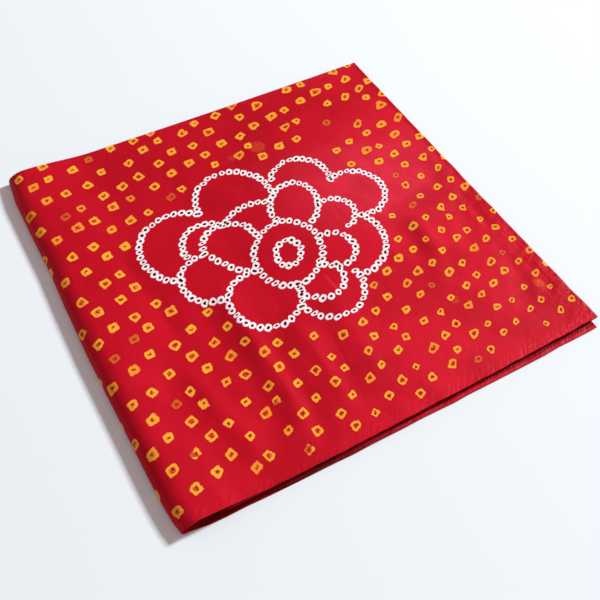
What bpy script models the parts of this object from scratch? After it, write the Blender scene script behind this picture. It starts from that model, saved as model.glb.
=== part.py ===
"""Folded bandhani cloth: one dyed sheet, folded lengthwise into four plies and laid flat.

The sheet is one strip that runs back and forth: its free end, the floor ply, the rounded
outer fold, the top ply, the soft right crease, the second ply, the inner fold, the third
ply and its other free end. The plies lie a little apart.

X runs along the front edge, -Y is the front edge and +Z is up, all in metres. The origin is
the middle of the base.
"""

from collections import namedtuple
import math

import bmesh
import bpy
import numpy as np

# Driving sizes of the folded cloth
CLOTH_WIDTH = 0.400
HALF_LENGTH = 0.200
PLY = 0.0010

# Heights of each ply's middle surface above the table
FLOOR_PLY_Z = PLY / 2
THIRD_PLY_Z = 0.0019
SECOND_PLY_Z = 0.0051
TOP_PLY_Z = 0.0065

# The rounded outer fold at the left: its tip is low, its crown stands a little way in
OUTER_TIP_Z = 0.0021
OUTER_TIP_REACH = 0.006
OUTER_CROWN_Z = 0.0120
OUTER_CROWN_REACH = 0.016
OUTER_SLOPE_END_X = -0.112

# The inner fold, hidden 30 mm in from the outer one
INNER_FOLD_X = -0.164
INNER_FOLD_REACH = 0.004

# The soft right crease: the second ply dips before it turns up into the top ply
CREASE_REACH = 0.0025
CREASE_LOW_Z = 0.0040
CREASE_DIP_START_X = 0.174

# The lower pair of plies ends short of the right crease
FLOOR_PLY_END_X = 0.1955
THIRD_PLY_END_X = 0.1940

# Spacing of the stations along the strip and of the rows across it
TOP_STEP = 0.008
LOWER_STEP = 0.022
EDGE_ROW_STEP = 0.010
EDGE_ROWS_END_Y = -0.180
FRONT_ROW_STEP = 0.020
BACK_ROW_STEP = 0.045
CLOSE_ROWS_END_Y = 0.020

# Relief grows from nothing over this distance in from each side fold
RELIEF_FADE = 0.030

# The back and right edges bow in at their middles, and the front edge bows out
BACK_BOW = 0.0012
FRONT_BOW = 0.0022
RIGHT_BOW = 0.0010
RIGHT_BOW_START_X = 0.150

# The outer fold's edge bows out a little and is rounded off at its two corners, along Y
OuterEdge = namedtuple("OuterEdge", "y outward")
OUTER_EDGE = (
    OuterEdge(-0.200, -0.0050),
    OuterEdge(-0.190, -0.0030),
    OuterEdge(-0.175, -0.0016),
    OuterEdge(-0.150, -0.0008),
    OuterEdge(-0.110, -0.0003),
    OuterEdge(-0.030, 0.0010),
    OuterEdge(0.030, 0.0003),
    OuterEdge(0.075, -0.0010),
    OuterEdge(0.120, -0.0004),
    OuterEdge(0.170, -0.0002),
    OuterEdge(0.200, -0.0030),
)
OUTER_EDGE_WIDTH = 0.085

# How far the lower pair of plies lies forward of the top pair, along X
Forward = namedtuple("Forward", "x amount")
LOWER_PAIR_FORWARD = (
    Forward(-0.200, -0.0005),
    Forward(-0.185, 0.0020),
    Forward(-0.150, 0.0026),
    Forward(-0.050, 0.0034),
    Forward(0.050, 0.0042),
    Forward(0.150, 0.0055),
    Forward(0.196, 0.0060),
)

# Soft troughs (negative rise) and ridges in the top pair, from one end to the other
Crease = namedtuple("Crease", "name x0 y0 x1 y1 half_width rise")
CREASES = (
    Crease("left_trough", -0.091, -0.036, -0.084, -0.152, 0.009, -0.0014),
    Crease("left_ridge", -0.077, -0.028, -0.070, -0.154, 0.008, 0.0012),
    Crease("outer_trough", -0.136, 0.055, -0.130, -0.045, 0.010, -0.0009),
    Crease("outer_ridge", -0.136, -0.085, -0.132, -0.165, 0.012, 0.0010),
    Crease("front_trough", -0.057, -0.098, -0.058, -0.185, 0.012, -0.0012),
    Crease("front_ridge", -0.037, -0.078, -0.036, -0.150, 0.009, 0.0009),
    Crease("front_trough_small", -0.027, -0.115, -0.030, -0.190, 0.008, -0.0008),
    Crease("middle_trough", -0.049, 0.081, -0.041, -0.059, 0.016, -0.0010),
    Crease("right_drag_trough", 0.112, -0.010, 0.179, 0.007, 0.012, -0.0012),
    Crease("right_drag_ridge", 0.142, -0.028, 0.183, -0.015, 0.012, 0.0010),
    Crease("pucker_trough", 0.099, -0.036, 0.103, -0.064, 0.010, -0.0012),
    Crease("pucker_ridge", 0.124, -0.030, 0.121, -0.064, 0.009, 0.0011),
    Crease("pucker_ridge_front", 0.114, -0.080, 0.103, -0.098, 0.009, 0.0008),
    Crease("edge_trough_back", 0.153, -0.075, 0.173, -0.044, 0.011, -0.0009),
    Crease("edge_trough_front", 0.158, -0.154, 0.175, -0.117, 0.011, -0.0009),
    Crease("front_lift", 0.000, -0.198, 0.030, -0.198, 0.016, 0.0010),
)

# One place along the strip: forward and relief are the shares it takes of those two effects
Station = namedtuple("Station", "x z forward relief")


def eased(share):
    """0 to 1 with a soft start and end."""
    share = min(max(share, 0.0), 1.0)
    return share * share * (3.0 - 2.0 * share)


def spaced(start, end, step):
    """Even values from start to end, about one step apart, with both ends."""
    count = max(1, round(abs(end - start) / step))
    return [start + (end - start) * i / count for i in range(count + 1)]


def relief_share(x):
    """The top pair of plies creases freely between its side folds, and is smooth at them."""
    from_left = (x + HALF_LENGTH - OUTER_CROWN_REACH) / RELIEF_FADE
    from_right = (HALF_LENGTH - CREASE_REACH - x) / RELIEF_FADE
    return eased(from_left) * eased(from_right)


def flat_run(x0, x1, z0, z1, step, forward, creased):
    """A ply from x0 to x1, easing from height z0 to z1."""
    return [
        Station(
            x,
            z0 + (z1 - z0) * eased((x - x0) / (x1 - x0)),
            forward,
            relief_share(x) if creased else 0.0,
        )
        for x in spaced(x0, x1, step)
    ]


def bend(x, z, reach, rise, first_angle, last_angle, count, forward_from, forward_to):
    """An elliptic bend about (x, z), in degrees from +X, without its two end points."""
    stations = []
    for i in range(1, count):
        share = i / count
        angle = math.radians(first_angle + (last_angle - first_angle) * share)
        stations.append(
            Station(
                x + reach * math.cos(angle),
                z + rise * math.sin(angle),
                forward_from + (forward_to - forward_from) * eased(share),
                0.0,
            )
        )
    return stations


def floor_ply():
    """The lowest ply, flat on the table, from its free end to the outer fold."""
    tip_x = -HALF_LENGTH + OUTER_TIP_REACH
    return flat_run(FLOOR_PLY_END_X, tip_x, FLOOR_PLY_Z, FLOOR_PLY_Z, LOWER_STEP, 1.0, False)


def outer_fold():
    """From the floor ply round the low tip, then up a wide quarter turn to the crown."""
    tip_x = -HALF_LENGTH + OUTER_TIP_REACH
    crown_x = -HALF_LENGTH + OUTER_CROWN_REACH
    tip = Station(-HALF_LENGTH, OUTER_TIP_Z, 0.8, 0.0)
    low = bend(tip_x, OUTER_TIP_Z, OUTER_TIP_REACH, OUTER_TIP_Z - FLOOR_PLY_Z, 270, 180, 3, 1.0, 0.8)
    high = bend(crown_x, OUTER_TIP_Z, OUTER_CROWN_REACH, OUTER_CROWN_Z - OUTER_TIP_Z, 180, 90, 6, 0.8, 0.0)
    return low + [tip] + high


def top_ply():
    """From the crown of the outer fold down a gentle slope, then level to the right crease."""
    crown_x = -HALF_LENGTH + OUTER_CROWN_REACH
    crease_x = HALF_LENGTH - CREASE_REACH
    slope = flat_run(crown_x, OUTER_SLOPE_END_X, OUTER_CROWN_Z, TOP_PLY_Z, TOP_STEP, 0.0, True)
    level = flat_run(OUTER_SLOPE_END_X, CREASE_DIP_START_X, TOP_PLY_Z, TOP_PLY_Z, TOP_STEP, 0.0, True)
    end = flat_run(CREASE_DIP_START_X, crease_x, TOP_PLY_Z, TOP_PLY_Z, TOP_STEP, 0.0, True)
    return slope + level[1:] + end[1:]


def right_crease():
    """The soft turn at the right, a little taller than the two plies that it joins."""
    middle_z = (TOP_PLY_Z + CREASE_LOW_Z) / 2
    rise = (TOP_PLY_Z - CREASE_LOW_Z) / 2
    return bend(HALF_LENGTH - CREASE_REACH, middle_z, CREASE_REACH, rise, 90, -90, 6, 0.0, 0.0)


def second_ply():
    """Its stations match the top ply's, so the two stay the same distance apart."""
    crease_x = HALF_LENGTH - CREASE_REACH
    dip = flat_run(crease_x, CREASE_DIP_START_X, CREASE_LOW_Z, SECOND_PLY_Z, TOP_STEP, 0.0, True)
    level = flat_run(CREASE_DIP_START_X, OUTER_SLOPE_END_X, SECOND_PLY_Z, SECOND_PLY_Z, TOP_STEP, 0.0, True)
    end = flat_run(OUTER_SLOPE_END_X, INNER_FOLD_X, SECOND_PLY_Z, SECOND_PLY_Z, TOP_STEP, 0.0, True)
    return dip + level[1:] + end[1:]


def inner_fold():
    """The turn inside the outer fold, from the second ply down to the third."""
    middle_z = (SECOND_PLY_Z + THIRD_PLY_Z) / 2
    rise = (SECOND_PLY_Z - THIRD_PLY_Z) / 2
    return bend(INNER_FOLD_X, middle_z, INNER_FOLD_REACH, rise, 90, 270, 6, 0.0, 1.0)


def third_ply():
    """From the inner fold back to the other free end, just above the floor ply."""
    return flat_run(INNER_FOLD_X, THIRD_PLY_END_X, THIRD_PLY_Z, THIRD_PLY_Z, LOWER_STEP, 1.0, False)


def strip_section():
    """Every station of the strip, in order from one free end to the other."""
    return (
        floor_ply()
        + outer_fold()
        + top_ply()
        + right_crease()
        + second_ply()
        + inner_fold()
        + third_ply()
    )


def rows_across():
    """Y of each row across the strip, closer together where the front half is creased."""
    half = CLOTH_WIDTH / 2
    edge = spaced(-half, EDGE_ROWS_END_Y, EDGE_ROW_STEP)
    front = spaced(EDGE_ROWS_END_Y, CLOSE_ROWS_END_Y, FRONT_ROW_STEP)
    back = spaced(CLOSE_ROWS_END_Y, half, BACK_ROW_STEP)
    return edge + front[1:] + back[1:]


def crease_relief(x, y):
    """Height of all the soft creases at a point of the top pair."""
    height = 0.0
    for crease in CREASES:
        run_x = crease.x1 - crease.x0
        run_y = crease.y1 - crease.y0
        along = ((x - crease.x0) * run_x + (y - crease.y0) * run_y) / (run_x**2 + run_y**2)
        along = min(max(along, 0.0), 1.0)
        away = math.hypot(x - crease.x0 - along * run_x, y - crease.y0 - along * run_y)
        height += crease.rise * math.exp(-((away / crease.half_width) ** 2))
    return height


def table_value(rows, at):
    """A two-column table's second column, read between its rows."""
    return float(np.interp(at, [row[0] for row in rows], [row[1] for row in rows]))


def edge_shift(x, y):
    """How far the bowed edges and rounded corners move a point, along X and along Y."""
    near_outer = eased((OUTER_SLOPE_END_X - x) / OUTER_EDGE_WIDTH)
    near_right = eased((x - RIGHT_BOW_START_X) / (HALF_LENGTH - RIGHT_BOW_START_X))
    right_bow = RIGHT_BOW * (1.0 - (y / (CLOTH_WIDTH / 2)) ** 2)
    towards_back = (y + CLOTH_WIDTH / 2) / CLOTH_WIDTH
    bow = BACK_BOW * towards_back**2 + FRONT_BOW * (1.0 - towards_back) ** 2
    shift_x = -near_outer * table_value(OUTER_EDGE, y) - near_right * right_bow
    return shift_x, -bow * (1.0 - (x / HALF_LENGTH) ** 2)


def middle_surface(section, rows):
    """Points of the sheet's middle surface, as an array of stations by rows."""
    points = np.zeros((len(section), len(rows), 3))
    for i, station in enumerate(section):
        forward = station.forward * table_value(LOWER_PAIR_FORWARD, station.x)
        for j, y in enumerate(rows):
            shift_x, shift_y = edge_shift(station.x, y)
            lift = station.relief * crease_relief(station.x, y)
            points[i, j] = (station.x + shift_x, y + shift_y - forward, station.z + lift)
    return points


def seat_at_origin(points):
    """Move the points so that the origin is the middle of the base."""
    low = points.reshape(-1, 3).min(axis=0)
    high = points.reshape(-1, 3).max(axis=0)
    return points - np.array([(low[0] + high[0]) / 2, (low[1] + high[1]) / 2, low[2]])


def both_faces(middle):
    """The two faces of the sheet, half a ply each side of its middle surface."""
    along_strip = np.gradient(middle, axis=0)
    along_rows = np.gradient(middle, axis=1)
    normals = np.cross(along_strip, along_rows)
    normals /= np.linalg.norm(normals, axis=2, keepdims=True)
    return seat_at_origin(np.stack([middle + normals * PLY / 2, middle - normals * PLY / 2]))


def grid_faces(bm, corners, flip):
    """Fill one face of the sheet with quads."""
    for i in range(len(corners) - 1):
        for j in range(len(corners[0]) - 1):
            quad = [corners[i][j], corners[i + 1][j], corners[i + 1][j + 1], corners[i][j + 1]]
            bm.faces.new(quad[::-1] if flip else quad)


def edge_faces(bm, one_side, other_side):
    """Close one cut edge of the sheet between its two faces."""
    for a, b, c, d in zip(one_side, one_side[1:], other_side[1:], other_side):
        bm.faces.new((a, d, c, b))


def dyed_cloth_material():
    """Deep red dyed cloth with a satin face."""
    material = bpy.data.materials.new("bandhani_red")
    material.use_nodes = True
    shader = material.node_tree.nodes["Principled BSDF"]
    shader.inputs["Base Color"].default_value = (0.55, 0.012, 0.025, 1.0)
    shader.inputs["Roughness"].default_value = 0.55
    shader.inputs["Metallic"].default_value = 0.0
    return material


def folded_cloth():
    """The whole sheet as one closed body."""
    faces = both_faces(middle_surface(strip_section(), rows_across()))
    bm = bmesh.new()
    outer, inner = [[[bm.verts.new(point) for point in row] for row in face] for face in faces]
    grid_faces(bm, outer, False)
    grid_faces(bm, inner, True)
    edge_faces(bm, [row[0] for row in outer], [row[0] for row in inner])
    edge_faces(bm, [row[-1] for row in inner], [row[-1] for row in outer])
    edge_faces(bm, inner[0], outer[0])
    edge_faces(bm, outer[-1], inner[-1])
    bmesh.ops.recalc_face_normals(bm, faces=bm.faces)
    mesh = bpy.data.meshes.new("bandhani_cloth")
    bm.to_mesh(mesh)
    bm.free()
    mesh.shade_smooth()
    mesh.set_sharp_from_angle(angle=math.radians(40))
    mesh.materials.append(dyed_cloth_material())
    cloth = bpy.data.objects.new("bandhani_cloth", mesh)
    bpy.context.scene.collection.objects.link(cloth)


for old in list(bpy.data.objects):
    bpy.data.objects.remove(old)
folded_cloth()
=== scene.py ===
"""Looks of the folded bandhani cloth: the thin dyed sheet on its folds, its stitched hems and the stage."""

from collections import namedtuple
import math

import bmesh
import bpy
from mathutils import Matrix, Vector, noise
import numpy as np


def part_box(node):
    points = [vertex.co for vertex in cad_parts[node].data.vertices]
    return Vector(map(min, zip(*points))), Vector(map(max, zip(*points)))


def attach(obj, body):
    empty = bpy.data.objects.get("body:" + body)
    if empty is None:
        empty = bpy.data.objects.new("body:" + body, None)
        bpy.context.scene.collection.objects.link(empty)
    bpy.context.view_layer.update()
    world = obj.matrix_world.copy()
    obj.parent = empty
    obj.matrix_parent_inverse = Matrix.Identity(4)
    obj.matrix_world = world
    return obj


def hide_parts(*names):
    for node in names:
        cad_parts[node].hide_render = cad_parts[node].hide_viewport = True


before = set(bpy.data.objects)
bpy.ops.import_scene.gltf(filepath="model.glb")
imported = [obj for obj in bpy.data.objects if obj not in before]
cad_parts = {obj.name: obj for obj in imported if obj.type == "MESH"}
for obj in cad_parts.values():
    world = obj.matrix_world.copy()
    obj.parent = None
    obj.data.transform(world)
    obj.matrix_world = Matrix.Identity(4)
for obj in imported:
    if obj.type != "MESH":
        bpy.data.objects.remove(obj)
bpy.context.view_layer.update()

bl_info = {
    "name": "Folded Bandhani Cloth",
    "version": (1, 0, 0),
    "blender": (4, 5, 0),
    "location": "3D View > Sidebar > Bandhani",
    "description": "A tie-dyed cloth folded in four, with its dotted flower, stitched hems and a plain stage",
    "category": "Object",
}

CLOTH_NODE = "bandhani_cloth"
BODY = "root"
MM = 0.001

# Folded sizes, the same as the solid's
CLOTH_WIDTH = 0.400
HALF_LENGTH = 0.200
THIRD_PLY_Z = 0.0019
SECOND_PLY_Z = 0.0051
TOP_PLY_Z = 0.0065
OUTER_TIP_Z = 0.0021
OUTER_TIP_REACH = 0.006
OUTER_TIP_FORWARD = 0.8
OUTER_CROWN_Z = 0.0120
OUTER_CROWN_REACH = 0.016
OUTER_SLOPE_END_X = -0.112
INNER_FOLD_X = -0.164
INNER_FOLD_REACH = 0.004
CREASE_REACH = 0.0025
CREASE_LOW_Z = 0.0040
CREASE_DIP_START_X = 0.174
FLOOR_PLY_END_X = 0.1955
THIRD_PLY_END_X = 0.1940
RELIEF_FADE = 0.030

# Distance from the inner fold over which the third ply eases to its forward place
THIRD_PLY_EASE = 0.080

# The back and right edges bow in at their middles, and the front edge bows out
BACK_BOW = 0.0012
FRONT_BOW = 0.0022
RIGHT_BOW = 0.0010
RIGHT_BOW_START_X = 0.150

# The outer fold's edge bows out a little and is rounded off at its two corners, along Y
OuterEdge = namedtuple("OuterEdge", "y outward")
OUTER_EDGE = (
    OuterEdge(-0.200, -0.0050),
    OuterEdge(-0.190, -0.0030),
    OuterEdge(-0.175, -0.0016),
    OuterEdge(-0.150, -0.0008),
    OuterEdge(-0.110, -0.0003),
    OuterEdge(-0.030, 0.0010),
    OuterEdge(0.030, 0.0003),
    OuterEdge(0.075, -0.0010),
    OuterEdge(0.120, -0.0004),
    OuterEdge(0.170, -0.0002),
    OuterEdge(0.200, -0.0030),
)
OUTER_EDGE_WIDTH = 0.085

# Spacing of the mesh along the strip, where it shows and where it is hidden, and across it
TOP_STEP = 0.0025
SECOND_STEP = 0.008
LOWER_STEP = 0.016
ROW_STEP = 0.0030
OUTER_FOLD_STEPS = 16
TIP_STEPS = 7
CREASE_STEPS = 10
INNER_FOLD_STEPS = 8

# Distance in from each long edge of the closely spaced rows that shape the hem
HEM_ROWS = (0.0, 0.0003, 0.0009, 0.0018, 0.0028, 0.0036, 0.0041, 0.0045, 0.0049, 0.0055, 0.0070)

# The lower pair of plies lies forward of the top pair, more towards the right
Forward = namedtuple("Forward", "x amount")
LOWER_PAIR_FORWARD = (
    Forward(-0.200, -0.0005),
    Forward(-0.185, 0.0020),
    Forward(-0.150, 0.0026),
    Forward(-0.050, 0.0034),
    Forward(0.050, 0.0042),
    Forward(0.150, 0.0055),
    Forward(0.196, 0.0060),
)

# Soft troughs (negative rise) and ridges in the top pair, from one end to the other
Crease = namedtuple("Crease", "name x0 y0 x1 y1 half_width rise")
CREASES = (
    Crease("left_trough", -0.099, -0.036, -0.094, -0.152, 0.012, -0.0013),
    Crease("left_ridge", -0.075, -0.028, -0.073, -0.154, 0.010, 0.0017),
    Crease("outer_trough", -0.136, 0.055, -0.130, -0.045, 0.010, -0.0009),
    Crease("outer_ridge", -0.133, -0.092, -0.120, -0.168, 0.011, 0.0021),
    Crease("front_trough", -0.064, -0.098, -0.066, -0.182, 0.010, -0.0013),
    Crease("front_ridge", -0.036, -0.078, -0.034, -0.162, 0.011, 0.0010),
    Crease("front_trough_small", -0.019, -0.100, -0.026, -0.165, 0.008, -0.0007),
    Crease("front_ridge_small", 0.006, -0.070, 0.001, -0.140, 0.011, 0.0011),
    Crease("middle_trough", -0.049, 0.081, -0.041, -0.059, 0.016, -0.0010),
    Crease("right_drag_trough", 0.112, -0.010, 0.179, 0.007, 0.011, -0.0016),
    Crease("right_drag_ridge", 0.142, -0.028, 0.183, -0.015, 0.011, 0.0014),
    Crease("pucker_trough", 0.099, -0.036, 0.103, -0.064, 0.010, -0.0012),
    Crease("pucker_ridge", 0.124, -0.030, 0.121, -0.064, 0.009, 0.0011),
    Crease("pucker_ridge_front", 0.114, -0.080, 0.103, -0.098, 0.009, 0.0008),
    Crease("edge_trough_back", 0.153, -0.075, 0.173, -0.044, 0.011, -0.0009),
    Crease("edge_trough_front", 0.158, -0.154, 0.175, -0.117, 0.011, -0.0009),
    Crease("front_lift", 0.000, -0.198, 0.030, -0.198, 0.016, 0.0010),
)

# Narrow creases and pulls that only the top ply shows
FINE_CREASES = (
    Crease("left_ridge_crest", -0.075, -0.060, -0.072, -0.146, 0.0050, 0.00030),
    Crease("outer_trough_core", -0.136, 0.045, -0.130, -0.035, 0.0050, -0.00040),
    Crease("front_ridge_crest", -0.036, -0.104, -0.035, -0.150, 0.0050, 0.00020),
    Crease("pucker_core", 0.108, -0.040, 0.109, -0.060, 0.0045, -0.00050),
    Crease("pucker_blob", 0.081, -0.046, 0.083, -0.056, 0.0050, 0.00060),
    Crease("edge_pucker_back", 0.194, -0.036, 0.178, -0.042, 0.0045, 0.00090),
    Crease("edge_pucker_middle", 0.192, -0.089, 0.174, -0.096, 0.0045, -0.00090),
    Crease("edge_pucker_front", 0.187, -0.145, 0.169, -0.151, 0.0045, 0.00080),
    Crease("edge_dip_back", 0.186, -0.030, 0.183, -0.068, 0.0055, -0.0022),
    Crease("edge_dip_middle", 0.188, -0.099, 0.186, -0.126, 0.0050, -0.0020),
    Crease("edge_dip_front", 0.187, -0.133, 0.184, -0.155, 0.0055, -0.0022),
)

# Sharp lines of the top ply's surface, in millimetres, from one end to the other
Line = namedtuple("Line", "name x0 y0 x1 y1 half_width rise")
SURFACE_LINES = (
    Line("left_crest", -76, -40, -72, -152, 3.0, 0.25),
    Line("front_crest", -36, -84, -35, -150, 3.0, 0.15),
    Line("small_line", -12, -96, -19, -150, 2.5, -0.25),
    Line("outer_line", -128, 46, -123, -40, 3.0, -0.25),
    Line("outer_crest", -135, -88, -131, -162, 5.0, 0.25),
    Line("petal_tick", 65, 24, 62, 3, 1.2, -0.30),
    Line("centre_line", -29, 90, -26, 20, 3.0, -0.15),
    Line("drag_line", 114, -3, 182, 10, 2.5, -0.35),
    Line("drag_line_back", 138, 15, 194, 27, 2.5, -0.30),
    Line("pucker_line", 112, -26, 117, -62, 3.0, -0.35),
    Line("edge_seam", 189, -58, 190, -198, 1.5, -0.30),
)
PALE_PULL = Line("pale_pull", 14, -46, 15, -71, 0.5, 1.0)

# Orange smudges of spread dye, in millimetres: centre, radius and strength
Smudge = namedtuple("Smudge", "x y radius strength")
SMUDGES = (
    Smudge(38, 129, 10, 0.34),
    Smudge(100, -125, 5, 0.30),
    Smudge(8, 126, 5, 0.25),
    Smudge(178, -146, 6, 0.55),
)

# A broad painted sheen on the ground, in millimetres: its centre, and its reach along X and Y
SHEEN_PATCH = (118.0, 40.0, 118.0, 88.0)

# Slow unevenness of the top ply, and small waver of the front edges and of the right crease:
# how far it goes, over what distance, and the seed of its noise
UNEVEN_RISE = 0.0004
UNEVEN_SIZE = 0.055
UNEVEN_SEED = 3.0
FRONT_RAGGED = 0.0007
FRONT_RAGGED_SIZE = 0.011
FRONT_RAGGED_SEED = 7.0
FRONT_RAGGED_DEPTH = 0.020
RIGHT_WAVER = 0.0008
RIGHT_WAVER_SIZE = 0.022
RIGHT_WAVER_SEED = 11.0
RIGHT_WAVER_EASE = 0.040

# The hem's inner step: where it starts past the hem's width, and how wide it is
HEM_STEP_START = 0.0003
HEM_STEP_WIDTH = 0.0008

# Edges that bend more than this are shown sharp
SHARP_ANGLE = math.radians(55)

# The hem's stitches: half sizes along, across and out of the cloth, their spacing, their lift as
# a share of their own half height, and the most that one slants
STITCH_HALF_SIZE = np.array((0.0011, 0.00019, 0.00010))
STITCH_PITCH = 0.0034
STITCH_END_GAP = 0.004
STITCH_FROM_EDGE = 0.0041
STITCH_SIDES = 5
STITCH_LIFT = 0.3
STITCH_SLANT = 0.35

# The dotted flower, in millimetres from the middle of a panel. Each row is one curved line
# of tied dots: its centre, radius, height over width, and start and end in degrees,
# anticlockwise from +X. A squashed one is long in the direction square to its turn
Arc = namedtuple("Arc", "name x y radius squash turn start end dots")
FLOWER_ARCS = (
    Arc("eye", -2, -9, 11.5, 1.33, -31, 0, 360, 13),
    Arc("heart", -2, -8, 31, 1.24, -31, 0, 360, 31),
    Arc("petal_upper", 32, 41, 23, 1.29, -31, -41, 222, 20),
    Arc("petal_right", 60, 13, 20, 1.0, 0, -80, 112, 11),
    Arc("petal_lower_right", 37, -25, 20, 1.0, 0, -165, 100, 14),
    Arc("petal_bottom", 8, -48, 22, 1.0, 0, 178, 378, 12),
    Arc("petal_lower_left", -45, -44, 32, 1.0, 0, 80, 360, 24),
    Arc("petal_left", -77, -2, 27, 1.0, 0, 80, 280, 15),
    Arc("petal_left_inner", 0, 44, 70, 1.0, 0, 201, 236, 7),
    Arc("petal_upper_left", -44, 25, 26, 1.0, 0, 0, 178, 13),
    Arc("petal_top", -10, 20, 42, 1.0, 0, 64, 129, 8),
    Arc("petal_crossing", -60, 34, 26, 1.0, 0, 36, 190, 12),
    Arc("lobe_top", -16, 75, 37, 1.0, 0, -10, 182, 19),
    Arc("lobe_upper_right", 54, 68, 29, 1.0, 0, -24, 152, 15),
    Arc("lobe_right", 93, 27, 28, 1.06, 0, -114, 116, 20),
    Arc("lobe_lower_right", 48, -22, 40, 1.0, 0, -98, 32, 15),
    Arc("lobe_bottom", 10, -62, 31, 1.0, 0, -170, 12, 15),
    Arc("lobe_left", -82, 43, 41, 1.0, 0, 50, 242, 21),
)
FLOWER_DOT_RADIUS = 3.40
FLOWER_MARGIN = 7.5
FLOWER_LEAN = math.radians(12)
FLOWER_CROWDING = 0.07

# The small dots' net, in millimetres: its pitch at the middle of a panel, how much it tightens
# per millimetre and towards which side, its turn, and how far the ties stray from it
PANEL_HALF = 207.0
NET_PITCH = 20.6
NET_SPREAD = 0.0005
NET_SIDE = math.radians(-45)
NET_TURN = math.radians(16)
NET_UNEVENNESS = 0.36
DOTS_END_Y = -189.0
THINNED_FROM = 170.0
PULL_TURN = math.radians(40)

# Pitch of the weave's threads, in millimetres
THREAD_PITCH = 0.5

# Camera, from the photograph's viewpoint
CAMERA_AZIMUTH = -31.55
CAMERA_ELEVATION = 53.35
CAMERA_ROLL = 2.48
CAMERA_TARGET = Vector((-0.0184, -0.0573, 0.0050))
CAMERA_DISTANCE = 0.6820
CAMERA_LENS = 46.83
SENSOR_WIDTH = 36.0

FLOOR_SIZE = 8.0

# Main light: low on the right, far off, so that the outer fold throws a short soft shadow
KEY_LIGHT_PLACE = Vector((6.98, 0.51, 3.88))
KEY_LIGHT_SIZE = 0.95
KEY_LIGHT_COLOUR = (0.91, 0.99, 1.0)
EVEN_LIGHT_COLOUR = (1.0, 0.80, 0.78, 1.0)

# One place along the strip: forward, relief and fine are the shares it takes of those effects
Station = namedtuple("Station", "x z forward relief fine")


def colour_property(name, description, colour):
    """A setting that holds a colour, as three numbers from 0 to 1."""
    return bpy.props.FloatVectorProperty(
        name=name, description=description, default=colour, size=3, min=0.0, max=1.0, subtype="COLOR",
    )


class BandhaniClothSettings(bpy.types.PropertyGroup):
    """Sizes and colours of the cloth."""

    thickness: bpy.props.FloatProperty(
        name="Cloth thickness", description="Thickness of the single cloth",
        default=0.00035, min=0.0001, max=0.001, precision=5, unit="LENGTH",
    )
    hem_width: bpy.props.FloatProperty(
        name="Hem width", description="Width of the turned and stitched hem",
        default=0.0045, min=0.002, max=0.008, precision=4, unit="LENGTH",
    )
    hem_extra: bpy.props.FloatProperty(
        name="Hem extra thickness", description="How much thicker the hem is than the single cloth",
        default=0.00035, min=0.0, max=0.0006, precision=5, unit="LENGTH",
    )
    ground: colour_property("Ground dye", "Deep red ground of the cloth", (0.50, 0.0040, 0.0155))
    ground_bright: colour_property(
        "Bright ground dye", "Red towards the right of each panel", (0.64, 0.0085, 0.0265)
    )
    # Deep red of stronger dye, also used as the painted shade on the right crease's turn
    deep_dye_and_shade: colour_property(
        "Deep ground dye", "Red where the dye has taken more strongly", (0.39, 0.0022, 0.0095)
    )
    # Painted shade: near-black red on the front of the low plies and in the gap above them
    painted_low_ply_shade: colour_property(
        "Inner ground dye", "Darkest red, on the front of the low plies", (0.085, 0.0008, 0.0025)
    )
    # Painted sheen: paler red of the broad patch at the right of the flower
    painted_sheen: colour_property(
        "Soft ground dye", "Paler red of the broad patch at the right of the flower", (0.76, 0.033, 0.068)
    )
    # Pale red of the pale pull line, and of the painted highlights on the hem's puckers
    pale_pull_and_highlight: colour_property(
        "Pale ground dye", "Red where the cloth is pulled at its hems", (0.72, 0.030, 0.055)
    )
    dot_yellow: colour_property("Yellow dye", "Body of the small tied dots", (0.93, 0.40, 0.035))
    dot_orange: colour_property(
        "Orange rim", "Rim of the small tied dots, where the dyes meet", (0.84, 0.19, 0.022)
    )
    dot_brown: colour_property(
        "Brown lines", "Fine lines round the pinch mark of a small dot", (0.40, 0.022, 0.007)
    )
    dot_white: colour_property("White resist", "Undyed cloth of the flower's dots", (0.93, 0.88, 0.90))
    dot_pink: colour_property(
        "Pink rim", "Rim of the flower's dots, where the red has crept in", (0.90, 0.55, 0.62)
    )
    dot_centre: colour_property(
        "Dot centre", "Dark mark where the cloth was pinched and tied", (0.10, 0.004, 0.003)
    )
    thread: colour_property("Hem thread", "Red sewing thread of the hems", (0.56, 0.012, 0.024))
    thread_pale: colour_property(
        "Pale hem thread", "Places where the thread took less dye", (0.85, 0.40, 0.36)
    )


class BandhaniStageSettings(bpy.types.PropertyGroup):
    """Floor, lights and camera."""

    floor_colour: colour_property(
        "Floor colour", "Plain pale surface that the cloth lies on", (0.818, 0.873, 0.910)
    )
    key_power: bpy.props.FloatProperty(
        name="Key light", description="Power of the main light, low on the right",
        default=980.0, min=0.0, max=5000.0, unit="POWER",
    )
    fill_strength: bpy.props.FloatProperty(
        name="Fill light", description="Strength of the even light from all round",
        default=0.41, min=0.0, max=5.0,
    )


def eased(share):
    """0 to 1 with a soft start and end."""
    share = min(max(share, 0.0), 1.0)
    return share * share * (3.0 - 2.0 * share)


def spaced(start, end, step):
    """Even values from start to end, about one step apart, with both ends."""
    count = max(1, round(abs(end - start) / step))
    return [start + (end - start) * i / count for i in range(count + 1)]


def hemmed(start, end, step):
    """Values from start to end, close together in the hem at the start."""
    way = 1.0 if end > start else -1.0
    hem = [start + way * distance for distance in HEM_ROWS]
    return hem + spaced(hem[-1], end, step)[1:]


def relief_share(x):
    """The top pair of plies creases freely between its side folds, and is smooth at them."""
    from_left = (x + HALF_LENGTH - OUTER_CROWN_REACH) / RELIEF_FADE
    from_right = (HALF_LENGTH - CREASE_REACH - x) / RELIEF_FADE
    return eased(from_left) * eased(from_right)


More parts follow.
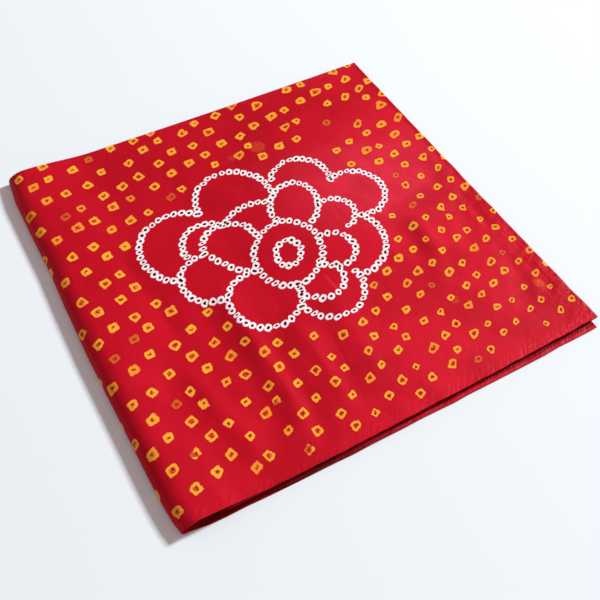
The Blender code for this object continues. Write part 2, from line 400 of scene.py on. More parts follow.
def flat_run(places, z0, z1, forward, relief, fine):
    """A ply through the given places along X, easing from height z0 to z1."""
    x0 = places[0]
    x1 = places[-1]
    return [
        Station(
            x,
            z0 + (z1 - z0) * eased((x - x0) / (x1 - x0)),
            forward,
            relief * relief_share(x),
            fine * relief_share(x),
        )
        for x in places
    ]


def bend(x, z, reach, rise, first_angle, last_angle, count, forward_from, forward_to):
    """An elliptic bend about (x, z), in degrees from +X, without its two end points."""
    stations = []
    for i in range(1, count):
        share = i / count
        angle = math.radians(first_angle + (last_angle - first_angle) * share)
        stations.append(
            Station(
                x + reach * math.cos(angle),
                z + rise * math.sin(angle),
                forward_from + (forward_to - forward_from) * eased(share),
                0.0,
                0.0,
            )
        )
    return stations


def outer_fold(floor_z):
    """From the floor ply round the low tip, then up a wide quarter turn to the crown."""
    tip_x = -HALF_LENGTH + OUTER_TIP_REACH
    crown_x = -HALF_LENGTH + OUTER_CROWN_REACH
    tip = Station(-HALF_LENGTH, OUTER_TIP_Z, OUTER_TIP_FORWARD, 0.0, 0.0)
    low = bend(
        tip_x, OUTER_TIP_Z, OUTER_TIP_REACH, OUTER_TIP_Z - floor_z, 270, 180,
        TIP_STEPS, 1.0, OUTER_TIP_FORWARD,
    )
    high = bend(
        crown_x, OUTER_TIP_Z, OUTER_CROWN_REACH, OUTER_CROWN_Z - OUTER_TIP_Z, 180, 90,
        OUTER_FOLD_STEPS, OUTER_TIP_FORWARD, 0.0,
    )
    return low + [tip] + high


def top_ply():
    """From the crown of the outer fold down a gentle slope, then level to the right crease."""
    crown_x = -HALF_LENGTH + OUTER_CROWN_REACH
    crease_x = HALF_LENGTH - CREASE_REACH
    slope = flat_run(spaced(crown_x, OUTER_SLOPE_END_X, TOP_STEP), OUTER_CROWN_Z, TOP_PLY_Z, 0.0, 1.0, 1.0)
    level = flat_run(spaced(OUTER_SLOPE_END_X, crease_x, TOP_STEP), TOP_PLY_Z, TOP_PLY_Z, 0.0, 1.0, 1.0)
    return slope + level[1:]


def right_crease():
    """The soft turn at the right, a little taller than the two plies that it joins."""
    middle_z = (TOP_PLY_Z + CREASE_LOW_Z) / 2
    rise = (TOP_PLY_Z - CREASE_LOW_Z) / 2
    crease_x = HALF_LENGTH - CREASE_REACH
    return bend(crease_x, middle_z, CREASE_REACH, rise, 90, -90, CREASE_STEPS, 0.0, 0.0)


def second_ply():
    """Back under the top ply to the inner fold."""
    crease_x = HALF_LENGTH - CREASE_REACH
    dip = flat_run(spaced(crease_x, CREASE_DIP_START_X, TOP_STEP), CREASE_LOW_Z, SECOND_PLY_Z, 0.0, 1.0, 0.0)
    level = flat_run(
        spaced(CREASE_DIP_START_X, INNER_FOLD_X, SECOND_STEP), SECOND_PLY_Z, SECOND_PLY_Z, 0.0, 1.0, 0.0
    )
    return dip + level[1:]


def inner_fold():
    """The turn inside the outer fold, from the second ply down to the third."""
    middle_z = (SECOND_PLY_Z + THIRD_PLY_Z) / 2
    rise = (SECOND_PLY_Z - THIRD_PLY_Z) / 2
    return bend(INNER_FOLD_X, middle_z, INNER_FOLD_REACH, rise, 90, 270, INNER_FOLD_STEPS, 0.0, 0.0)


def strip_section(floor_z):
    """Every station of the strip, in order from one free end to the other."""
    tip_x = -HALF_LENGTH + OUTER_TIP_REACH
    floor_places = hemmed(FLOOR_PLY_END_X, tip_x, LOWER_STEP)
    floor_ply = flat_run(floor_places, floor_z, floor_z, 1.0, 0.0, 0.0)
    third_places = hemmed(THIRD_PLY_END_X, INNER_FOLD_X, LOWER_STEP)
    third_ply = [
        station._replace(forward=eased((station.x - INNER_FOLD_X) / THIRD_PLY_EASE))
        for station in flat_run(third_places[::-1], THIRD_PLY_Z, THIRD_PLY_Z, 1.0, 0.0, 0.0)
    ]
    return (
        floor_ply + outer_fold(floor_z) + top_ply() + right_crease()
        + second_ply() + inner_fold() + third_ply
    )


def rows_across():
    """Y of each row across the strip, close together in the two hems."""
    half = CLOTH_WIDTH / 2
    front = hemmed(-half, 0.0, ROW_STEP)
    return front + [-y for y in reversed(front[:-1])]


def crease_relief(creases, x, y):
    """Height of a table's soft creases at a point of the top pair."""
    height = 0.0
    for crease in creases:
        run_x = crease.x1 - crease.x0
        run_y = crease.y1 - crease.y0
        along = ((x - crease.x0) * run_x + (y - crease.y0) * run_y) / (run_x**2 + run_y**2)
        along = min(max(along, 0.0), 1.0)
        away = math.hypot(x - crease.x0 - along * run_x, y - crease.y0 - along * run_y)
        height += crease.rise * math.exp(-((away / crease.half_width) ** 2))
    return height


def table_value(rows, at):
    """A two-column table's second column, read between its rows."""
    return float(np.interp(at, [row[0] for row in rows], [row[1] for row in rows]))


def edge_shift(x, y):
    """How far the bowed edges and rounded corners move a point, along X and along Y."""
    near_outer = eased((OUTER_SLOPE_END_X - x) / OUTER_EDGE_WIDTH)
    near_right = eased((x - RIGHT_BOW_START_X) / (HALF_LENGTH - RIGHT_BOW_START_X))
    right_bow = RIGHT_BOW * (1.0 - (y / (CLOTH_WIDTH / 2)) ** 2)
    towards_back = (y + CLOTH_WIDTH / 2) / CLOTH_WIDTH
    bow = BACK_BOW * towards_back**2 + FRONT_BOW * (1.0 - towards_back) ** 2
    shift_x = -near_outer * table_value(OUTER_EDGE, y) - near_right * right_bow
    return shift_x, -bow * (1.0 - (x / HALF_LENGTH) ** 2)


def softly(x, y, size, seed):
    """Slow unevenness from -1 to 1, over distances of about size."""
    return noise.noise(Vector((x / size, y / size, seed)))


def middle_surface(section, rows):
    """Points of the sheet's middle surface, as an array of stations by rows."""
    points = np.zeros((len(section), len(rows), 3))
    for i, station in enumerate(section):
        near_right = eased((station.x - RIGHT_BOW_START_X) / RIGHT_WAVER_EASE)
        forward = station.forward * table_value(LOWER_PAIR_FORWARD, station.x)
        for j, y in enumerate(rows):
            shift_x, shift_y = edge_shift(station.x, y)
            lift = station.relief * crease_relief(CREASES, station.x, y)
            if station.fine:
                uneven = UNEVEN_RISE * softly(station.x, y, UNEVEN_SIZE, UNEVEN_SEED)
                lift += station.fine * (crease_relief(FINE_CREASES, station.x, y) + uneven)
            near_front = eased(1.0 - (y + CLOTH_WIDTH / 2) / FRONT_RAGGED_DEPTH)
            ragged = softly(station.x, station.forward * 0.5, FRONT_RAGGED_SIZE, FRONT_RAGGED_SEED)
            shift_y += near_front * FRONT_RAGGED * ragged
            shift_x += near_right * RIGHT_WAVER * softly(0.0, y, RIGHT_WAVER_SIZE, RIGHT_WAVER_SEED)
            points[i, j] = (station.x + shift_x, y + shift_y - forward, station.z + lift)
    return points


def seat_in_box(points, low, high):
    """Move the points so that their box has the solid's middle and stands on its base."""
    own_low = points.reshape(-1, 3).min(axis=0)
    own_high = points.reshape(-1, 3).max(axis=0)
    shift = (np.array(low) + np.array(high)) / 2 - (own_low + own_high) / 2
    shift[2] = low[2] - own_low[2]
    return points + shift


def strip_lengths(section):
    """Distance of each station along the flat cloth, nothing at the middle of the top ply."""
    lengths = [0.0]
    for a, b in zip(section, section[1:]):
        lengths.append(lengths[-1] + math.hypot(b.x - a.x, b.z - a.z))
    top = [i for i, station in enumerate(section) if station.z >= TOP_PLY_Z]
    middle = min(top, key=lambda i: abs(section[i].x))
    start = lengths[middle] - section[middle].x
    return [length - start for length in lengths]


def hem_share(distance, width):
    """1 in the hem, 0 past it, with a soft step between."""
    return eased((width + HEM_STEP_START - distance) / HEM_STEP_WIDTH)


def sheet_faces(middle, lengths, rows, settings):
    """The dyed face and the reverse, with the turned hem's thickness on the reverse."""
    normals = np.cross(np.gradient(middle, axis=0), np.gradient(middle, axis=1))
    normals /= np.linalg.norm(normals, axis=2, keepdims=True)
    from_long_edge = CLOTH_WIDTH / 2 - np.abs(np.array(rows))[None, :]
    from_short_end = np.minimum(np.array(lengths) - lengths[0], lengths[-1] - np.array(lengths))[:, None]
    from_edge = np.minimum(from_long_edge, from_short_end)
    hem = np.vectorize(hem_share)(from_edge, settings.hem_width)[..., None]
    face = middle + normals * settings.thickness / 2
    reverse = middle - normals * (settings.thickness / 2 + hem * settings.hem_extra)
    return face, reverse


def folded_faces(settings):
    """The two faces of the folded sheet in place, with its lengths and rows."""
    section = strip_section(settings.thickness / 2)
    rows = rows_across()
    lengths = strip_lengths(section)
    middle = middle_surface(section, rows)
    faces = np.stack(sheet_faces(middle, lengths, rows, settings))
    return seat_in_box(faces, *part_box(CLOTH_NODE)), lengths, rows


def grid_faces(bm, corners, flip):
    """Fill one face of the sheet with quads."""
    for i in range(len(corners) - 1):
        for j in range(len(corners[0]) - 1):
            quad = [corners[i][j], corners[i + 1][j], corners[i + 1][j + 1], corners[i][j + 1]]
            bm.faces.new(quad[::-1] if flip else quad)


def edge_faces(bm, one_side, other_side):
    """Close one cut edge of the sheet between its two faces."""
    for a, b, c, d in zip(one_side, one_side[1:], other_side[1:], other_side):
        bm.faces.new((a, d, c, b))


def new_piece(name, mesh):
    """An object at the origin, with its place in its mesh."""
    piece = bpy.data.objects.new(name, mesh)
    bpy.context.scene.collection.objects.link(piece)
    return piece


def sheet_mesh(faces, lengths, rows):
    """One closed mesh of the sheet, with flat-cloth coordinates in metres as its UV map."""
    bm = bmesh.new()
    face, reverse = [[[bm.verts.new(point) for point in row] for row in side] for side in faces]
    flat = {}
    for side in (face, reverse):
        for i, line in enumerate(side):
            for j, vertex in enumerate(line):
                flat[vertex] = (lengths[i], rows[j])
    grid_faces(bm, face, False)
    grid_faces(bm, reverse, True)
    edge_faces(bm, [row[0] for row in face], [row[0] for row in reverse])
    edge_faces(bm, [row[-1] for row in reverse], [row[-1] for row in face])
    edge_faces(bm, reverse[0], face[0])
    edge_faces(bm, face[-1], reverse[-1])
    uv = bm.loops.layers.uv.new("flat_cloth")
    for polygon in bm.faces:
        for loop in polygon.loops:
            loop[uv].uv = flat[loop.vert]
    bmesh.ops.recalc_face_normals(bm, faces=bm.faces)
    mesh = bpy.data.meshes.new("folded_cloth")
    bm.to_mesh(mesh)
    bm.free()
    mesh.shade_smooth()
    mesh.set_sharp_from_angle(angle=SHARP_ANGLE)
    return mesh


def stitch_shape():
    """One short stitch lying along +X: a small closed spindle of points and faces."""
    rings = ((-0.70, 0.75), (0.0, 1.0), (0.70, 0.75))
    points = [(-1.0, 0.0, 0.0)]
    for along, girth in rings:
        for k in range(STITCH_SIDES):
            angle = 2 * math.pi * k / STITCH_SIDES
            points.append((along, girth * math.cos(angle), girth * math.sin(angle)))
    points.append((1.0, 0.0, 0.0))
    faces = []
    last = len(points) - 1
    for k in range(STITCH_SIDES):
        following = (k + 1) % STITCH_SIDES
        faces.append((0, 1 + following, 1 + k))
        for ring in range(len(rings) - 1):
            start = 1 + ring * STITCH_SIDES
            beyond = start + STITCH_SIDES
            faces.append((start + k, start + following, beyond + following, beyond + k))
        start = 1 + (len(rings) - 1) * STITCH_SIDES
        faces.append((start + k, start + following, last))
    return np.array(points) * STITCH_HALF_SIZE, faces


def stitch_line(face, outward, distances, first):
    """Places along one line of the sheet: centre, direction, outward normal, once per pitch."""
    count = int((distances[-1] - distances[0] - 2 * STITCH_END_GAP) / STITCH_PITCH)
    places = []
    for i in range(count):
        at = distances[0] + STITCH_END_GAP + (i + first) * STITCH_PITCH
        centre, ahead, normal = (
            np.array([np.interp(at + step, distances, line[:, axis]) for axis in range(3)])
            for line, step in ((face, 0.0), (face, STITCH_PITCH / 4), (outward, 0.0))
        )
        places.append((centre, ahead - centre, normal))
    return places


def stitch_mesh(faces, lengths, rows):
    """All the hem stitches in one mesh: alternate ones show on the face and on the reverse."""
    lengths = np.array(lengths)
    rows = np.array(rows)
    seam_row = int(np.argmin(np.abs(rows + CLOTH_WIDTH / 2 - STITCH_FROM_EDGE)))
    seam_station = int(np.argmin(np.abs(lengths - lengths[0] - STITCH_FROM_EDGE)))
    face, reverse = faces
    outward = face - reverse
    outward /= np.linalg.norm(outward, axis=2, keepdims=True)
    places = []
    for side, way, first in ((face, outward, 0.0), (reverse, -outward, 0.5)):
        for row in (seam_row, len(rows) - 1 - seam_row):
            places += stitch_line(side[:, row], way[:, row], lengths, first)
        for station in (seam_station, len(lengths) - 1 - seam_station):
            inner = slice(seam_row, len(rows) - seam_row)
            places += stitch_line(side[station, inner], way[station, inner], rows[inner], first)
    shape, shape_faces = stitch_shape()
    points = []
    polygons = []
    for number, (centre, ahead, normal) in enumerate(places):
        ahead = ahead / np.linalg.norm(ahead)
        across = np.cross(normal, ahead)
        across /= np.linalg.norm(across)
        slant = STITCH_SLANT * noise.noise(Vector((number * 3.7, 0.5, 0.5)))
        along = ahead * math.cos(slant) + across * math.sin(slant)
        axes = np.array([along, np.cross(normal, along), normal])
        points.append(centre + normal * STITCH_HALF_SIZE[2] * STITCH_LIFT + shape @ axes)
        polygons += [tuple(index + number * len(shape) for index in polygon) for polygon in shape_faces]
    mesh = bpy.data.meshes.new("hem_stitches")
    mesh.from_pydata(np.concatenate(points).tolist(), [], polygons)
    mesh.shade_smooth()
    return mesh


class Wire:
    """One number on its way between shader nodes. Arithmetic on it adds Math nodes."""

    def __init__(self, make, socket):
        self.make = make
        self.socket = socket

    def __add__(self, other):
        return self.make.maths("ADD", self, other)

    def __sub__(self, other):
        return self.make.maths("SUBTRACT", self, other)

    def __rsub__(self, other):
        return self.make.maths("SUBTRACT", other, self)

    def __mul__(self, other):
        return self.make.maths("MULTIPLY", self, other)

    def __truediv__(self, other):
        return self.make.maths("DIVIDE", self, other)

    def __rtruediv__(self, other):
        return self.make.maths("DIVIDE", other, self)

    def __pow__(self, other):
        return self.make.maths("POWER", self, other)

    def __abs__(self):
        return self.make.maths("ABSOLUTE", self)


class NodeMaker:
    """Adds nodes to a tree. An input is a number, a tuple, a wire or another node's output."""

    def __init__(self, tree):
        self.tree = tree

    def add(self, kind, inputs=None, **settings):
        """A new node with its settings, and its inputs given by name or number."""
        node = self.tree.nodes.new(kind)
        for name, value in settings.items():
            setattr(node, name, value)
        for name, value in (inputs or {}).items():
            self.feed(node.inputs[name], value)
        return node

    def feed(self, socket, value):
        """Link a wire or an output, or set a plain value. A colour is given as three numbers."""
        if isinstance(value, Wire):
            value = value.socket
        if isinstance(value, bpy.types.NodeSocket):
            self.tree.links.new(value, socket)
        else:
            socket.default_value = (*value, 1.0) if socket.type == "RGBA" else value

    def maths(self, operation, *values):
        """One Math node's result."""
        node = self.add("ShaderNodeMath", dict(enumerate(values)), operation=operation)
        return Wire(self, node.outputs[0])

    def least(self, values):
        """The smallest of several numbers."""
        smallest = values[0]
        for value in values[1:]:
            smallest = self.maths("MINIMUM", smallest, value)
        return smallest

    def length(self, x, y):
        """Length of an offset."""
        return self.maths("SQRT", x * x + y * y)

    def ramp(self, value, start, end, low=0.0, high=1.0):
        """A soft step of value from start to end, as low to high."""
        names = ("Value", "From Min", "From Max", "To Min", "To Max")
        inputs = dict(zip(names, (value, start, end, low, high)))
        node = self.add("ShaderNodeMapRange", inputs, interpolation_type="SMOOTHSTEP")
        return Wire(self, node.outputs["Result"])

    def mix(self, share, one, other):
        """A mix of two colours."""
        node = self.add("ShaderNodeMix", {"Factor": share}, data_type="RGBA")
        colours = [socket for socket in node.inputs if socket.type == "RGBA"]
        self.feed(colours[0], one)
        self.feed(colours[1], other)
        return next(socket for socket in node.outputs if socket.type == "RGBA")

    def vector(self, x, y):
        """Two numbers as a vector."""
        return self.add("ShaderNodeCombineXYZ", {"X": x, "Y": y}).outputs[0]

    def scaled(self, vector, scale):
        """A vector times another, number by number."""
        return self.add("ShaderNodeVectorMath", {0: vector, 1: scale}, operation="MULTIPLY").outputs[0]

    def noise(self, vector, scale, detail=2.0, roughness=0.5):
        """Two-dimensional noise: its value and its colour."""
        node = self.add(
            "ShaderNodeTexNoise",
            {"Vector": vector, "Scale": scale, "Detail": detail, "Roughness": roughness},
            noise_dimensions="2D",
        )
        return Wire(self, node.outputs[0]), node.outputs["Color"]

    def parts(self, colour):
        """A colour or vector's three numbers."""
        return [Wire(self, socket) for socket in self.add("ShaderNodeSeparateXYZ", {0: colour}).outputs]

    def use(self, group, values):
        """One use of a node group: its output, from its inputs in their order."""
        return Wire(self, self.add("ShaderNodeGroup", dict(enumerate(values)), node_tree=group).outputs[0])


def new_group(name, inputs, output):
    """An empty node group of numbers: its maker and its inputs' wires."""
    group = bpy.data.node_groups.new(name, "ShaderNodeTree")
    for label in inputs:
        group.interface.new_socket(name=label, in_out="INPUT", socket_type="NodeSocketFloat")
    group.interface.new_socket(name=output, in_out="OUTPUT", socket_type="NodeSocketFloat")
    make = NodeMaker(group)
    given = make.add("NodeGroupInput").outputs
    return make, [Wire(make, given[label]) for label in inputs]


def crowded(angle):
    """Angle round a flower line, warped so that dots crowd where the line runs across the cloth."""
    return angle + FLOWER_CROWDING * math.sin(2 * (angle - FLOWER_LEAN))


def turned_offset(make, off_x, off_y, turn):
    """An offset in the axes of a dot that is turned by an angle."""
    cosine = make.maths("COSINE", turn)
    sine = make.maths("SINE", turn)
    return off_x * cosine + off_y * sine, off_y * cosine - off_x * sine


def rounded_distance(along, across, power):
    """Distance from a centre to a point, as a rounded square of the given power sees it."""
    return (abs(along) ** power + abs(across) ** power) ** (1.0 / power)


def dotted_arc_group():
    """Node group: distance to the nearest tied dot of one curved line, in dot radii."""
    names = (
        "X", "Y", "Centre X", "Centre Y", "Radius", "Squash", "Turn",
        "Middle", "First", "Step", "Last", "Seed",
    )
    make, given = new_group("dotted_arc", names, "Distance")
    x, y, centre_x, centre_y, radius, squash, turn, middle, first, step, last, seed = given

    def bent(angle):
        return make.maths("SINE", angle * 2.0 - 2 * FLOWER_LEAN) * FLOWER_CROWDING

    away_x, away_y = turned_offset(make, x - centre_x, y - centre_y, turn)
    angle = make.maths("ARCTAN2", away_y / squash, away_x)
    angle = make.maths("WRAP", angle, middle + math.pi, middle - math.pi)
    place = make.maths("ROUND", (angle + bent(angle) - first) / step)
    nearest = make.maths("MINIMUM", make.maths("MAXIMUM", place, 0.0), last)
    chance = make.add("ShaderNodeTexWhiteNoise", {"W": nearest + seed}, noise_dimensions="1D")
    random = make.parts(chance.outputs["Color"])
    # The dot's own angle, by undoing the crowding in three rounds
    crowded_angle = nearest * step + first
    own_angle = crowded_angle
    for _ in range(3):
        own_angle = crowded_angle - bent(own_angle)
    # Each dot strays a little off the line, and has its own turn, length and width
    reach = radius + (random[1] * 1.3 - 0.65)
    off_x = away_x - reach * make.maths("COSINE", own_angle) + (random[0] * 0.9 - 0.45)
    off_y = away_y - reach * make.maths("SINE", own_angle) * squash
    along, across = turned_offset(make, off_x, off_y, random[0] * 0.9 + 0.1 - turn)
    along = along / (random[1] * 0.18 + 1.06)
    across = across / make.ramp(random[0], 0.0, 0.35, 0.66, 0.93)
    size = (random[2] * 0.22 + 0.90) * FLOWER_DOT_RADIUS
    make.add("NodeGroupOutput", {"Distance": rounded_distance(along, across, 2.4) / size})
    return make.tree


def flower_distance(make, x, y):
    """Distance to the flower's nearest dot, in dot radii."""
    group = dotted_arc_group()
    distances = []
    for number, arc in enumerate(FLOWER_ARCS):
        start = math.radians(arc.start)
        end = math.radians(arc.end)
        whole = arc.end - arc.start == 360
        gaps = arc.dots if whole else arc.dots - 1
        step = (crowded(end) - crowded(start)) / gaps
        middle = start + math.pi - (math.pi / arc.dots) if whole else (start + end) / 2
        values = (
            x, y, arc.x, arc.y, arc.radius, arc.squash, math.radians(arc.turn), middle,
            crowded(start), step, arc.dots - 1, number * 100,
        )
        distances.append(make.use(group, values))
    return make.least(distances)


def outside_flower(make, x, y):
    """1 where a small dot at (x, y) stands clear of the flower, 0 where it would touch it."""
    away = [
        make.length(x - arc.x, y - arc.y) - (arc.radius * arc.squash + FLOWER_MARGIN)
        for arc in FLOWER_ARCS
        if arc.name not in ("eye", "petal_left_inner")
    ]
    return make.maths("GREATER_THAN", make.least(away), 0.0)


SmallDots = namedtuple("SmallDots", "distance mark chance clear")


def small_dots(make, x, y):
    """The small tied dots, measured from the nearest one's centre in its own radii.

    They stand on a square net, turned and spread by a smooth map, so that they are further
    apart towards the left and closer towards the right.
    """
    onward, sideways = turned_offset(make, x, y, NET_SIDE)
    grown = make.maths("EXPONENT", onward * NET_SPREAD)
    turned = sideways * NET_SPREAD - (NET_TURN + NET_SIDE)
    net_x = grown * make.maths("COSINE", turned) / NET_SPREAD
    net_y = grown * make.maths("SINE", turned) / NET_SPREAD
    cells = make.add(
        "ShaderNodeTexVoronoi",
        {"Vector": make.vector(net_x, net_y), "Scale": 1 / NET_PITCH, "Randomness": NET_UNEVENNESS},
        voronoi_dimensions="2D", feature="F1",
    )
    centre = make.parts(cells.outputs["Position"])
    chance = make.parts(cells.outputs["Color"])
    # The centre's place on the flat cloth, through the inverse of the same map
    reach = make.length(centre[0], centre[1]) * NET_SPREAD
    onward = make.maths("LOGARITHM", reach, math.e) / NET_SPREAD
    sideways = (make.maths("ARCTAN2", centre[1], centre[0]) + (NET_TURN + NET_SIDE)) / NET_SPREAD
    centre_x, centre_y = turned_offset(make, onward, sideways, -NET_SIDE)
    # Towards the right the ties are looser: rounder, longer and more turned
    loose = make.ramp(centre_x, -60.0, 150.0)
    turn = (chance[0] - 0.5) * (loose * 1.1 + 0.45) + (0.26 - PULL_TURN)
    pulled, square = turned_offset(make, x - centre_x, y - centre_y, PULL_TURN)
    pull = chance[1] * (loose * 0.22 + 0.18) + 1.05
    along, across = turned_offset(make, pulled / pull, square, turn)
    stretch = chance[1] * (loose * 0.30 + 0.10) + 0.94
    taper = (chance[2] - 0.5) * (loose * 0.14 + 0.09)
    narrow = make.maths("MAXIMUM", along * taper + 1.0, 0.3)
    distance = rounded_distance(along / stretch, across / narrow, loose * -1.6 + 4.8)
    # Radius in millimetres, larger towards the back left and smaller towards the front right
    mixed = make.maths("FRACT", (chance[0] + chance[2]) * 7.0)
    size = centre_y * (centre_x * 0.00001 + 0.0032) + (centre_x * -0.0020 + 3.30) + mixed * 0.9
    mark = rounded_distance(along / 1.5, across, 2.0)
    # One tie in five is left out towards the back right, and all of them by the front edge
    thinned = make.maths("GREATER_THAN", centre_x + centre_y, THINNED_FROM)
    left_out = thinned * make.maths("GREATER_THAN", chance[2], 0.79)
    clear = outside_flower(make, centre_x, centre_y) * make.maths("GREATER_THAN", centre_y, DOTS_END_Y)
    return SmallDots(distance / size, mark, (*chance, mixed), clear * (1.0 - left_out))


def crease_line_group():
    """Node group: height of one sharp line from its start along its run, nothing at its two ends."""
    names = ("X", "Y", "Start X", "Start Y", "Run X", "Run Y", "Half Width", "Rise")
    make, given = new_group("crease_line", names, "Height")
    x, y, start_x, start_y, run_x, run_y, half_width, rise = given
    off_x = x - start_x
    off_y = y - start_y
    along = (off_x * run_x + off_y * run_y) / (run_x * run_x + run_y * run_y)
    share = make.maths("MINIMUM", make.maths("MAXIMUM", along, 0.0), 1.0)
    off = make.length(off_x - share * run_x, off_y - share * run_y)
    rounded = make.maths("SQRT", off * off + 0.16)
    tent = make.maths("EXPONENT", rounded / half_width * -1.0)
    fade = 1.0 - abs(share * 2.0 - 1.0) ** 3.0
    make.add("NodeGroupOutput", {"Height": tent * fade * rise})
    return make.tree


def line_height(make, group, x, y, line):
    """Height of one surface line."""
    run_x = line.x1 - line.x0
    run_y = line.y1 - line.y0
    return make.use(group, (x, y, line.x0, line.y0, run_x, run_y, line.half_width, line.rise))


def away_from(make, x, y, centre_x, centre_y, reach_x, reach_y):
    """Distance from a point, as a share of its reach along X and along Y."""
    return make.length((x - centre_x) / reach_x, (y - centre_y) / reach_y)


def slanted_noise(make, in_mm, turn, scale_x, scale_y):
    """Noise drawn out along a slanted direction."""
    turns = {0: in_mm, "Angle": math.radians(turn)}
    slanted = make.add("ShaderNodeVectorRotate", turns, rotation_type="Z_AXIS").outputs[0]
    return make.noise(make.scaled(slanted, (scale_x, scale_y, 0.0)), 1.0)[0]


def low_ply_shade_share(make, x_mm, y_mm):
    """Share of painted shade on the front of the two low plies, most by the outer fold and in the gap above
    them.
    """
    # Painted shade on the floor ply's and the third ply's front, from the outer fold to past the left half's
    # middle
    floor_ply = make.ramp(x_mm, -440.0, -290.0, 0.0, 0.62) * make.ramp(x_mm, -214.0, -222.0)
    third_ply = make.ramp(x_mm, 800.0, 650.0, 0.0, 0.90) * make.ramp(x_mm, 555.0, 570.0)
    low = make.maths("MAXIMUM", floor_ply, third_ply) * make.ramp(y_mm, -150.0, -185.0)
    # Painted shade on the third ply's front between its own edge and the top pair's, down in the gap
    gap = make.ramp(x_mm, 555.0, 570.0, 0.0, 0.72) * make.ramp(y_mm, -198.3, -196.9)
    return make.maths("MAXIMUM", low, gap * make.ramp(y_mm, -175.0, -190.0))


def ground_colour(make, in_mm, x_mm, y_mm, from_long_edge, settings):
    """The red ground: clouds, streaks, a painted sheen patch, a brighter outer crest, painted highlights on
    the hem puckers, specks, smudges, a pale pull, and painted shade on the right crease's turn and the low
    plies.
    """
    bright = make.ramp(x_mm - y_mm * 0.6, -40.0, 170.0)
    # The crest of the outer fold is a little brighter towards the front
    crest = make.ramp(abs(x_mm + 171.0), 26.0, 8.0) * make.ramp(y_mm, -30.0, -90.0, 0.0, 0.6)
    ground = make.mix(make.maths("MAXIMUM", bright, crest), settings.ground, settings.ground_bright)
    cloud = make.noise(in_mm, 0.016, 4.0)[0]
    # The broad painted sheen, a paler red at the right of the flower
    from_sheen_patch = away_from(make, x_mm, y_mm, *SHEEN_PATCH) + (cloud - 0.5)
    ground = make.mix(make.ramp(from_sheen_patch, 1.10, 0.10, 0.0, 0.72), ground, settings.painted_sheen)
    ground = make.mix(make.ramp(cloud, 0.60, 0.36, 0.0, 0.40), ground, settings.deep_dye_and_shade)
    streaks = slanted_noise(make, in_mm, 0.0, 0.12, 1.6)
    ground = make.mix(make.ramp(streaks, 0.45, 0.75, 0.0, 0.14), ground, settings.deep_dye_and_shade)
    # Painted highlights of the hem's puckers: pale slanted streaks near the long edges
    pucker_highlights = make.ramp(slanted_noise(make, in_mm, -35.0, 0.11, 0.55), 0.62, 0.75, 0.0, 0.22)
    ground = make.mix(pucker_highlights * make.ramp(from_long_edge, 13.0, 5.0), ground, settings.pale_pull_and_highlight)
    # Painted shade on the turn of the right crease, in the deep red
    turn = make.ramp(x_mm, 192.5, 198.0, 0.0, 0.85) * make.ramp(x_mm, 212.0, 206.0)
    ground = make.mix(turn, ground, settings.deep_dye_and_shade)
    # Small pale specks on the hem and along the right crease, towards the front right
    specks = make.ramp(make.noise(in_mm, 0.50, 1.0)[0], 0.66, 0.74, 0.0, 0.22)
    near_crease = make.ramp(x_mm, 189.0, 194.0) * make.ramp(y_mm, -110.0, -150.0)
    by_hem = make.ramp(from_long_edge, 7.0, 4.0) * make.ramp(x_mm, 60.0, 170.0)
    edge = make.maths("MAXIMUM", near_crease, by_hem) * make.maths("LESS_THAN", x_mm, 201.0)
    ground = make.mix(specks * edge, ground, settings.thread_pale)
    speckle = make.ramp(make.noise(in_mm, 0.8)[0], 0.42, 0.58)
    for spot in SMUDGES:
        off = away_from(make, x_mm, y_mm, spot.x, spot.y, spot.radius, spot.radius)
        ground = make.mix(speckle * make.ramp(off, 1.0, 0.6, 0.0, spot.strength), ground, settings.dot_orange)
    pull = line_height(make, crease_line_group(), x_mm, y_mm, PALE_PULL)
    ground = make.mix(pull * 1.6, ground, settings.pale_pull_and_highlight)
    # Painted shade on the front of the low plies and in the gap above them
    return make.mix(low_ply_shade_share(make, x_mm, y_mm), ground, settings.painted_low_ply_shade)


